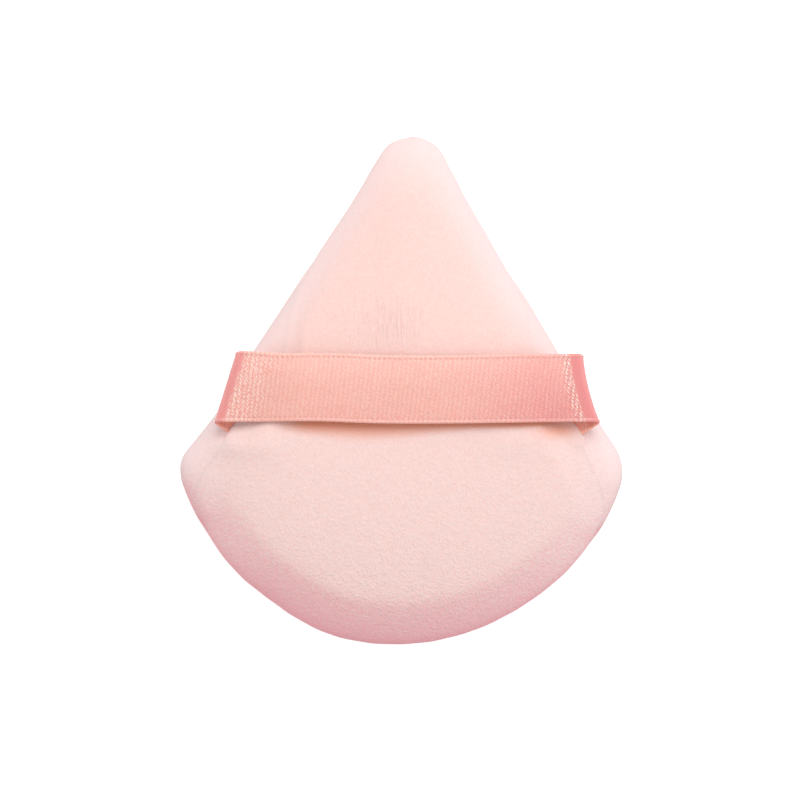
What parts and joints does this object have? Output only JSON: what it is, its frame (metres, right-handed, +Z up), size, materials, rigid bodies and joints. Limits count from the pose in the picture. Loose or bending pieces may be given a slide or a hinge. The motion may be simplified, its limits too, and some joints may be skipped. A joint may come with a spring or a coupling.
{
  "type": "powder puff",
  "caption": "Triangular velour powder puff with a rounded tip, curved base, stuffed crowned pad and a satin ribbon finger strap folded back at both sides.",
  "frame": {"origin": "on the resting surface, under the middle of the puff's bounding box", "axes": "+Z up, out of the strap side; +Y toward the rounded tip; +X to the right with the tip up, along the strap"},
  "size_m": [0.0656, 0.075, 0.0169],
  "materials": {
    "velour": "short-pile velour, pale peach pink",
    "sponge": "open-cell sponge",
    "satin_ribbon": "woven satin, salmon pink",
    "thread": "spun sewing thread"
  },
  "bodies": {
    "pad": {"top_cover": "velour", "bottom_cover": "velour", "foam_core": "sponge", "strap_tail_left": "satin_ribbon", "strap_tail_right": "satin_ribbon", "needle_thread": "thread", "upper_looper_thread": "thread", "lower_looper_thread": "thread", "closing_thread": "thread"},
    "strap_ends": {"strap_loop_left": "satin_ribbon", "strap_loop_right": "satin_ribbon"},
    "strap": {"strap_span": "satin_ribbon"}
  },
  "joints": [
    {"name": "strap_lean", "type": "hinge", "parent": "pad", "child": "strap_ends", "pos_m": [0, 0.00044, 0.0119], "axis": [1, 0, 0], "range_deg": [-10, 10], "stiffness_Nm_per_rad": 0.0003},
    {"name": "strap_lift", "type": "slide", "parent": "strap_ends", "child": "strap", "axis": [0, 0, 1], "range_m": [0, 0.01], "deforming": ["strap_loop_left", "strap_loop_right"]}
  ]
}
